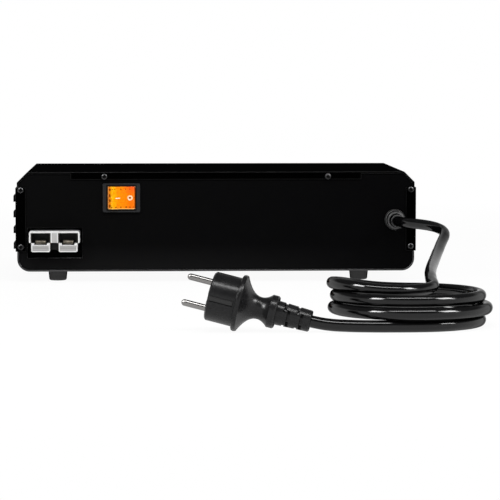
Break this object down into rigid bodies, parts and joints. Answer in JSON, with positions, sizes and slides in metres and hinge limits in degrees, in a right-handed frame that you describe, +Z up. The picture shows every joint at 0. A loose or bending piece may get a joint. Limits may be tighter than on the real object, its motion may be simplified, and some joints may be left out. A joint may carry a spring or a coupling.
{
  "type": "workshop battery charger",
  "caption": "Low black sheet-steel bench charger with a rocker switch and a two-pole output connector on its rear panel, and a coiled mains lead with a moulded plug.",
  "frame": {"origin": "on the surface it stands on, in the middle of the case and its fittings, without the mains lead", "axes": "+Z up; the rear panel with the switch, the output and the mains lead faces -Y; +X is to the right when looking at the rear panel"},
  "size_m": [0.3706, 0.6287, 0.0956],
  "materials": {
    "case_paint": "smooth semi-gloss black powder coat",
    "panel_paint": "fine satin black powder coat",
    "foot_rubber": "matte black rubber",
    "zinc_steel": "zinc plated",
    "black_screws": "black oxide, worn bright in the recess",
    "switch_plastic": "dark grey moulded plastic",
    "rocker_plastic": "orange translucent plastic",
    "brass": "plain brass",
    "connector_plastic": "light grey moulded plastic",
    "silver_contact": "silver plated copper",
    "bracket_steel": "black coated sheet",
    "gland_plastic": "black nylon",
    "cord_rubber": "smooth semi-gloss black sheath",
    "plug_rubber": "satin black moulded rubber",
    "nickel": "nickel plated brass",
    "display_glass": "dark tinted lens",
    "display_plastic": "moulded display carrier",
    "button_rubber": "dark grey silicone",
    "light_lens": "tinted diffused lens",
    "circuit_board": "green solder mask",
    "sink_aluminium": "extruded, plain",
    "package_epoxy": "black epoxy",
    "ferrite": "sintered ferrite",
    "winding_tape": "yellow polyester tape",
    "copper_wire": "enamelled copper",
    "capacitor_sleeve": "dark blue sleeve",
    "fan_plastic": "black glass-filled plastic",
    "wire_jacket": "coloured wire jackets"
  },
  "bodies": {
    "root": {"base_tray": "case_paint", "top_cover": "case_paint", "louvred_side_plate": "case_paint", "fan_side_plate": "case_paint", "rear_panel": "panel_paint", "front_panel": "panel_paint", "foot_rear_left": "foot_rubber", "foot_rear_right": "foot_rubber", "foot_front_left": "foot_rubber", "foot_front_right": "foot_rubber", "foot_screws": "zinc_steel", "foot_nuts": "zinc_steel", "board_screws": "zinc_steel", "case_screws": "black_screws", "fan_screws": "black_screws", "switch_housing": "switch_plastic", "switch_terminals": "brass", "board_standoffs": "brass", "control_standoffs": "brass", "dc_connector_housing": "connector_plastic", "dc_contacts": "silver_contact", "connector_bracket": "bracket_steel", "cable_gland": "gland_plastic", "gland_nut": "gland_plastic", "strain_relief": "cord_rubber", "cord_lead": "cord_rubber", "cord_coil": "cord_rubber", "cord_tail": "cord_rubber", "plug_body": "plug_rubber", "plug_pins": "nickel", "plug_earth_clips": "nickel", "display_window": "display_glass", "display_module": "display_plastic", "indicator_lights": "light_lens", "control_board": "circuit_board", "main_board": "circuit_board", "heat_sink_input": "sink_aluminium", "heat_sink_output": "sink_aluminium", "power_transistors": "package_epoxy", "fuse_holder": "package_epoxy", "transformer_core": "ferrite", "transformer_winding": "winding_tape", "output_choke": "copper_wire", "bulk_capacitors": "capacitor_sleeve", "fan_frame": "fan_plastic", "dc_leads": "wire_jacket", "mains_leads": "wire_jacket"},
    "rocker": {"switch_rocker": "rocker_plastic"},
    "fan_wheel": {"fan_rotor": "fan_plastic"},
    "mode_key": {"mode_button": "button_rubber"},
    "start_key": {"start_button": "button_rubber"}
  },
  "joints": [
    {"name": "rocker_tilt", "type": "hinge", "parent": "root", "child": "rocker", "pos_m": [-0.0817, -0.08835, 0.0732], "axis": [0, 0, -1], "range_deg": [0, 24]},
    {"name": "fan_spin", "type": "hinge", "parent": "root", "child": "fan_wheel", "pos_m": [0.165, 0.00425, 0.05425], "axis": [1, 0, 0], "continuous": true},
    {"name": "mode_press", "type": "slide", "parent": "root", "child": "mode_key", "axis": [0, -1, 0], "range_m": [0, 0.0012], "stiffness_N_per_m": 400},
    {"name": "start_press", "type": "slide", "parent": "root", "child": "start_key", "axis": [0, -1, 0], "range_m": [0, 0.0012], "stiffness_N_per_m": 400}
  ]
}
